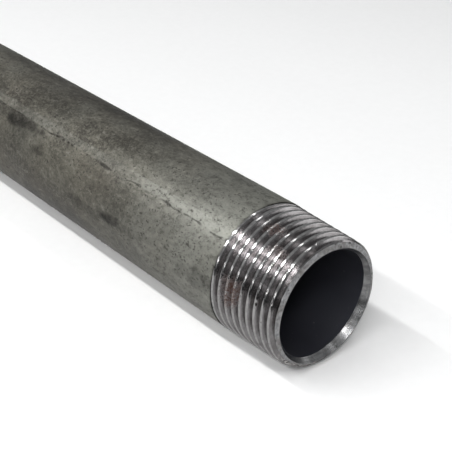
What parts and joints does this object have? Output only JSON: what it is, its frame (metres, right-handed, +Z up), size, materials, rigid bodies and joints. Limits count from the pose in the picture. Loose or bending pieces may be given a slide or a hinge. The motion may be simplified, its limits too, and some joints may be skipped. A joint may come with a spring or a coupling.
{
  "type": "threaded pipe nipple",
  "caption": "Straight welded steel pipe nipple: a coated barrel with a bare taper pipe thread and a reamed mouth at each end, dark inside.",
  "frame": {"origin": "on the pipe's axis, halfway along its length", "axes": "X runs along the pipe; the two ends are alike, half a turn apart about Z; +Z is up with the pipe lying down"},
  "size_m": [0.2, 0.0337, 0.0336],
  "materials": {
    "bare_steel": "thread-cut steel, bright on the crests, with light rust in the grooves",
    "weld_steel": "weld metal, trimmed flush and threaded with the wall",
    "zinc_coat": "dull mottled zinc-grey coat, speckled and smudged",
    "dark_coat": "smooth bluish-black coat"
  },
  "bodies": {
    "root": {"pipe_wall": "bare_steel", "weld_seam": "weld_steel", "outer_coating": "zinc_coat", "bore_coating": "dark_coat"}
  },
  "joints": []
}
